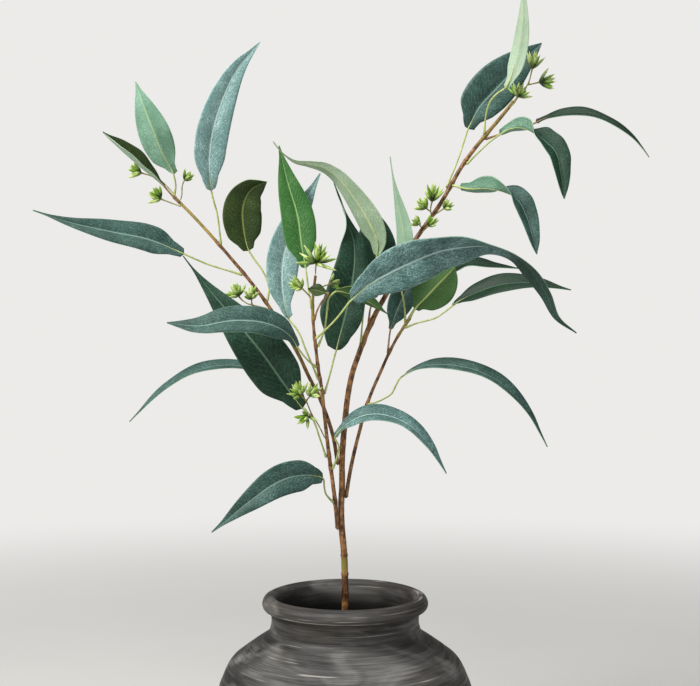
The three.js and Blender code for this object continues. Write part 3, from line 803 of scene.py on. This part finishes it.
def makeCluster(node):
    shape = budShape
    stalk = mergedCopy(node)
    packed = budsOf(stalk.data)
    buds = filledTufts(packed)
    for vertex in stalk.data.vertices:
        for foot, axis, length in packed:
            rise = (vertex.co - foot).dot(axis) / length
            out = vertex.co - foot - axis * rise * length
            if 0.15 < rise < 1.02 and out.length < shape["sleeve"]:
                vertex.co = foot + axis * rise * length * 0.75 + out * 0.4
                break
    stalk.data.materials.append(stemMaterials["budStalk"])
    smooth = stalk.modifiers.new("smooth", "SUBSURF")
    smooth.levels = smooth.render_levels = 1
    pickOnly(stalk)
    bpy.ops.object.modifier_apply(modifier=smooth.name)
    bpy.ops.object.shade_smooth()
    stalk.data.attributes.new("ripe", "FLOAT", "POINT")
    copies = []
    for foot, axis, length in buds:
        bud = budPattern.copy()
        bud.data = budPattern.data.copy()
        bpy.context.scene.collection.objects.link(bud)
        girth = shape["radius"] * min(shape["stoutest"], 0.5 + length / shape["usual"])
        turn = axis.to_track_quat("Z", "Y").to_matrix().to_4x4()
        bud.data.transform(Matrix.Translation(foot) @ turn @ Matrix.Diagonal((girth, girth, length, 1)))
        bud.data.materials.append(budSkin)
        pale = max(0, min(1, 0.42 + 2.4 * noise.noise(foot * 60 + axis * 3)))
        for value in bud.data.attributes["ripe"].data:
            value.value = pale
        copies.append(bud)
    pickOnly(stalk)
    for bud in copies:
        bud.select_set(True)
    bpy.ops.object.join()
    settle(stalk, node)
    return len(buds)


budPattern = makeBud()
budCounts = {node: makeCluster(node) for node in seedNodes}
discard(budPattern)
print("clusters made:", budCounts)

# Stems
stemShape = dict(
    step=2.0 * millimetre,
    sides=12,
    nodeHeight=2.6 * millimetre,  # how far a joint's swelling reaches along the stem
    swelling=0.3,
    wander=0.05,                  # unevenness of the bark's radius
    footInto=1.5 * millimetre,    # a side stem goes this far into the trunk
    footFlare=1.15,
    trunkRings=[0.2545, 0.274, 0.2926],  # heights of the raised rings round the trunk
    ringSwelling=0.2,
    ringHeight=1.1 * millimetre,
    fade=4 * millimetre,          # young wood turns brown over this height
)
# the lower and upper end of each stretch of young green wood, and how green it is
youngWood = {
    "main_stem": [(0.275, 0.292, 0.9), (0.700, 0.760, 0.45)],
    "front_stem": [(0.520, 0.552, 0.8), (0.440, 0.456, 0.4)],
    "left_stem": [(0.600, 0.650, 0.7), (0.470, 0.500, 0.3)],
    "right_stem": [(0.505, 0.530, 0.6)],
}


def makeStem(node):
    shape = stemShape
    rings = ringsOf(node, 8)
    centres = [middle(ring) for ring in rings]
    girths = [sum((p - c).length for p in ring) / len(ring) for ring, c in zip(rings, centres)]
    if node != "main_stem":
        centres.insert(0, centres[0] + (centres[0] - centres[1]).normalized() * shape["footInto"])
        girths.insert(0, girths[0] * shape["footFlare"])
    span = sum((b - a).length for a, b in zip(centres, centres[1:])) / (len(centres) - 1)
    count = round((len(centres) - 1) * span / shape["step"])
    points, radii = [], []
    for step in range(count + 1):
        place = step / count * (len(centres) - 1)
        point, radius = splineAt(centres, place), splineAt(girths, place)
        near = min((point - joint).length for joint in joints.values())
        swell = shape["swelling"] * math.exp(-(max(near - radius, 0) / shape["nodeHeight"]) ** 2)
        if node == "main_stem":
            for height in shape["trunkRings"]:
                offRing = (point.z - height) / shape["ringHeight"]
                swell += shape["ringSwelling"] * math.exp(-offRing ** 2)
        rough = shape["wander"] * noise.noise(point * 180)
        points.append(point)
        radii.append(radius * (1 + swell + rough))
    stem = tubeThrough(pieceName(node), points, radii, shape["sides"], stemMaterials["bark"])
    young = stem.data.attributes.new("young", "FLOAT", "POINT")
    for vertex, value in zip(stem.data.vertices, young.data):
        height = vertex.co.z
        value.value = 0
        for low, high, amount in youngWood[node]:
            inside = min(height - low, high - height) / shape["fade"]
            value.value = max(value.value, amount * max(0, min(1, inside)))
    settle(stem, node)


for stemNode in stemNodes:
    makeStem(stemNode)
print("stems made")

# Vase
vaseShape = dict(
    segments=144,
    step=1.8 * millimetre,
    ridge=0.22 * millimetre,     # depth of the throwing lines
    ridges=150.0,                # how many of them to a metre
    fineRidges=2.7,              # times as many finer ones, half as deep
    ridgesFrom=0.004, ridgesTo=0.232,
    pale=2 * millimetre,         # how far below the lip the painted shade inside starts
    darkens=22 * millimetre,     # and over what depth the painted shade deepens to full
)


def vaseProfile():
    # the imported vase's outline from the middle of its foot, over the lip, to the middle of its floor
    copy = mergedCopy("vase")
    points = [vertex.co.copy() for vertex in copy.data.vertices]
    joined = neighboursOf(copy.data)
    discard(copy)
    foot = min(range(len(points)), key=lambda i: points[i].length)
    return [
        Vector((sum(math.hypot(*points[i].xy) for i in ring) / len(ring), 0, points[ring[0]].z))
        for ring in layersFrom([foot], joined)
    ]


def makeVase():
    shape = vaseShape
    profile = vaseProfile()
    crest = max(range(len(profile)), key=lambda i: profile[i].z)
    points = [profile[0], profile[1]]
    for start, end, outside in ((1, crest, True), (crest, len(profile) - 2, False)):
        part = profile[start:end + 1]
        span = sum((b - a).length for a, b in zip(part, part[1:]))
        count = round(span / shape["step"])
        places = [0.0]
        for a, b in zip(part, part[1:]):
            places.append(places[-1] + (b - a).length)
        for step in range(1, count + 1):
            far = span * step / count
            index = max(i for i in range(len(part) - 1) if places[i] <= far + 1e-9)
            share = (far - places[index]) / (places[index + 1] - places[index])
            point = splineAt(part, index + min(share, 1))
            if outside and shape["ridgesFrom"] < point.z < shape["ridgesTo"]:
                rise = point.z * shape["ridges"]
                lines = noise.noise(Vector((0, 0, rise)))
                lines += 0.5 * noise.noise(Vector((3, 0, rise * shape["fineRidges"])))
                point.x += shape["ridge"] * lines
            points.append(point)
    points.append(profile[-1])
    top = max(range(len(points)), key=lambda i: points[i].z)
    outline = bpy.data.curves.new("vaseOutline", "CURVE")
    outline.dimensions = "3D"
    spline = outline.splines.new("POLY")
    spline.points.add(len(points) - 1)
    for target, point in zip(spline.points, points):
        target.co = (*point, 1)
    vase = bpy.data.objects.new("vase", outline)
    bpy.context.scene.collection.objects.link(vase)
    pickOnly(vase)
    bpy.ops.object.convert(target="MESH")
    vase = bpy.context.active_object
    # painted shade inside the vase: zero outside and at the lip, rising to full with depth below the
    # lip
    depth = vase.data.attributes.new("depth", "FLOAT", "POINT")
    for index, value in enumerate(depth.data):
        below = (points[top].z - points[index].z - shape["pale"]) / shape["darkens"]
        value.value = max(0, min(1, below)) if index > top else 0
    bpy.ops.object.mode_set(mode="EDIT")
    bpy.ops.mesh.select_all(action="SELECT")
    bpy.ops.mesh.spin(steps=shape["segments"], angle=2 * math.pi, center=(0, 0, 0), axis=(0, 0, 1))
    bpy.ops.mesh.select_all(action="SELECT")
    bpy.ops.mesh.remove_doubles(threshold=0.02 * millimetre)
    bpy.ops.mesh.normals_make_consistent(inside=False)
    bpy.ops.object.mode_set(mode="OBJECT")
    bpy.ops.object.shade_smooth()
    vase.data.materials.append(clay)
    settle(vase, "vase")


makeVase()
print("vase made")

# Floor, light and camera
floorLook = dict(
    size=40, dark=tone(203, 202, 199), light=tone(214, 213, 210),
    nearEdge=0.5, farEdge=2.4,   # where the floor starts to shine, and where it only shines
)
lights = {
    "keyLight": dict(
        place=(-1.3, -1.1, 1.9), aim=(0, 0, 0.5), size=1.0, power=72, colour=(1.0, 0.985, 0.96),
    ),
    "skyLight": dict(
        place=(0.2, -0.2, 2.4), aim=(0, 0, 0.5), size=1.3, power=22, colour=(0.96, 0.985, 1.0),
    ),
    "fillLight": dict(
        place=(1.9, -1.2, 0.9), aim=(0, 0, 0.45), size=1.4, power=7, colour=(0.97, 0.98, 1.0),
    ),
}
worldLight = dict(colour=tone(236, 235, 233), seen=1.0, shed=0.2)
view = dict(place=(0.0047, -1.170, 0.500), lens=61.5, sensor=36)


def makeFloor():
    # matte near the vase, and shining far away, so that it runs into the pale room
    black = (0, 0, 0, 1)
    material, tree, shader, place = newMaterial(
        "paleFloor", Roughness=0.8, Specular_IOR_Level=0.0, Emission_Strength=1.0
    )
    soft = cloud(tree, place, 3.0, 3)
    near = mixed(tree, soft, floorLook["dark"], floorLook["light"])
    away = addNode(tree, "VectorMath", {0: place}, operation="LENGTH").outputs["Value"]
    far = eased(tree, away, floorLook["nearEdge"], floorLook["farEdge"])
    tree.links.new(mixed(tree, far, near, black), shader.inputs["Base Color"])
    tree.links.new(mixed(tree, far, black, worldLight["colour"]), shader.inputs["Emission Color"])
    bpy.ops.object.select_all(action="DESELECT")
    bpy.ops.mesh.primitive_plane_add(size=floorLook["size"], location=(0, 0, 0))
    ground = bpy.context.active_object
    ground.name = "ground"
    ground.data.materials.append(material)


def makeLight(name, place, aim, size, power, colour):
    lamp = bpy.data.lights.new(name, "AREA")
    lamp.size = size
    lamp.energy = power
    lamp.color = colour
    stand = bpy.data.objects.new(name, lamp)
    stand.location = place
    stand.rotation_euler = (Vector(aim) - Vector(place)).to_track_quat("-Z", "Y").to_euler()
    bpy.context.scene.collection.objects.link(stand)


def makeCamera():
    camera = bpy.data.cameras.new("camera")
    camera.lens = view["lens"]
    camera.sensor_width = view["sensor"]
    camera.clip_start = 0.01
    holder = bpy.data.objects.new("camera", camera)
    holder.location = view["place"]
    holder.rotation_euler = (math.pi / 2, 0, 0)
    bpy.context.scene.collection.objects.link(holder)
    bpy.context.scene.camera = holder


def makeWorld():
    # a pale room, which looks brighter than the light that it sheds
    world = bpy.data.worlds.new("paleRoom")
    world.use_nodes = True
    tree = world.node_tree
    direct = addNode(tree, "LightPath").outputs["Is Camera Ray"]
    strength = eased(tree, direct, 0, 1, worldLight["shed"], worldLight["seen"])
    tree.nodes["Background"].inputs[0].default_value = worldLight["colour"]
    tree.links.new(strength, tree.nodes["Background"].inputs[1])
    bpy.context.scene.world = world


makeFloor()
for lightName, settings in lights.items():
    makeLight(lightName, **settings)
makeCamera()
makeWorld()
bpy.context.scene.view_settings.view_transform = "Standard"
print("floor, light and camera set")
